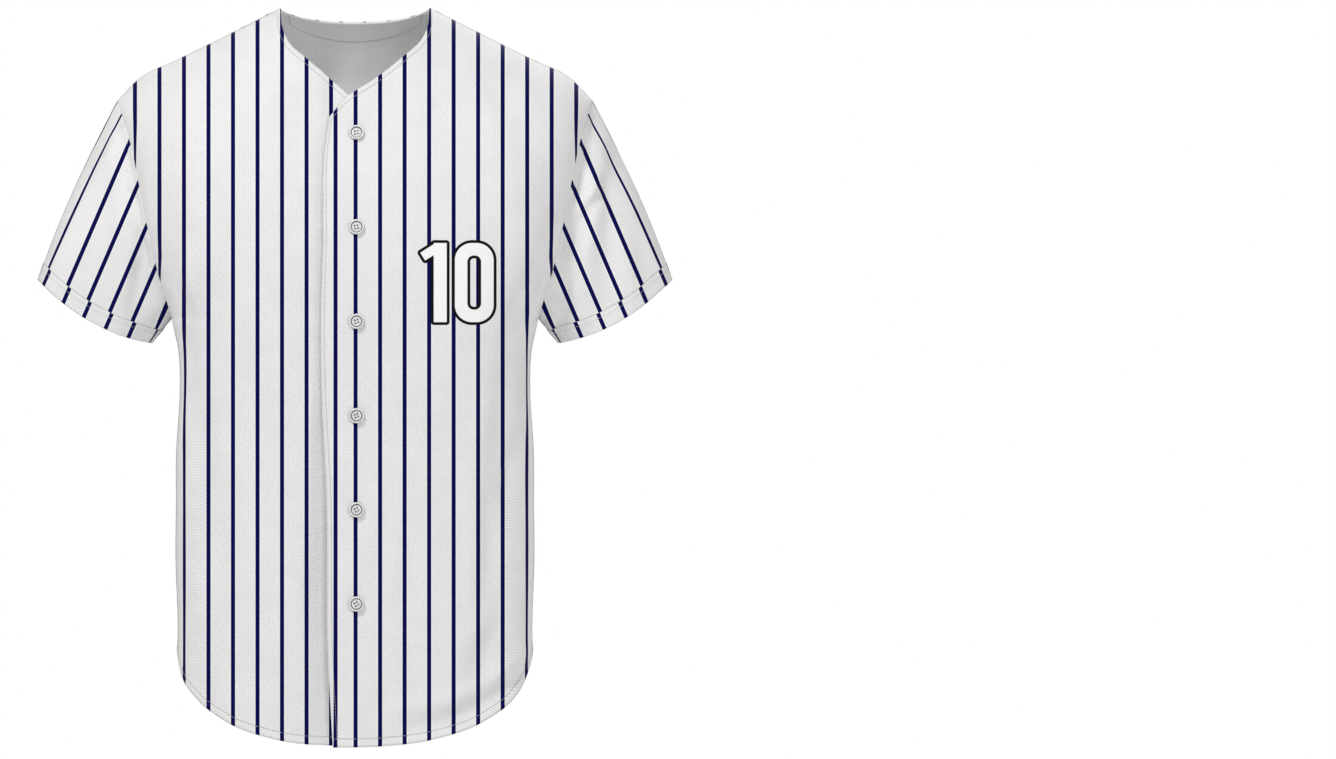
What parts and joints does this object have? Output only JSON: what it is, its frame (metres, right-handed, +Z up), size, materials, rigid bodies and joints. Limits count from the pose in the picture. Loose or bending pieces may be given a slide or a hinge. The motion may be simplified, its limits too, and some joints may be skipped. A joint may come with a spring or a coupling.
{
  "type": "baseball jersey",
  "caption": "Short-sleeved button-front baseball jersey, hollow and filled out as worn, with V neck, lapped placket, round buttons and rounded shirt-tail hem",
  "frame": {"origin": "the middle of the neck opening at the height where the shoulders meet the neck, between front and back, where a wearer's shoulders hold the jersey up", "axes": "+Z up, -Y the way the front faces, +X towards the wearer's left, across the shoulders"},
  "size_m": [0.653, 0.2528, 0.7508],
  "materials": {
    "jersey_cloth": "white polyester mesh knit with thin navy stripes, matte",
    "facing_cloth": "plain light knit facing, matte",
    "button_plastic": "glossy white moulded button"
  },
  "bodies": {
    "root": {"front_left": "jersey_cloth", "front_right": "jersey_cloth", "back": "jersey_cloth", "sleeve_left": "jersey_cloth", "sleeve_right": "jersey_cloth", "back_neck_facing": "facing_cloth", "button_1": "button_plastic", "button_2": "button_plastic", "button_3": "button_plastic", "button_4": "button_plastic", "button_5": "button_plastic", "button_6": "button_plastic"}
  },
  "joints": []
}
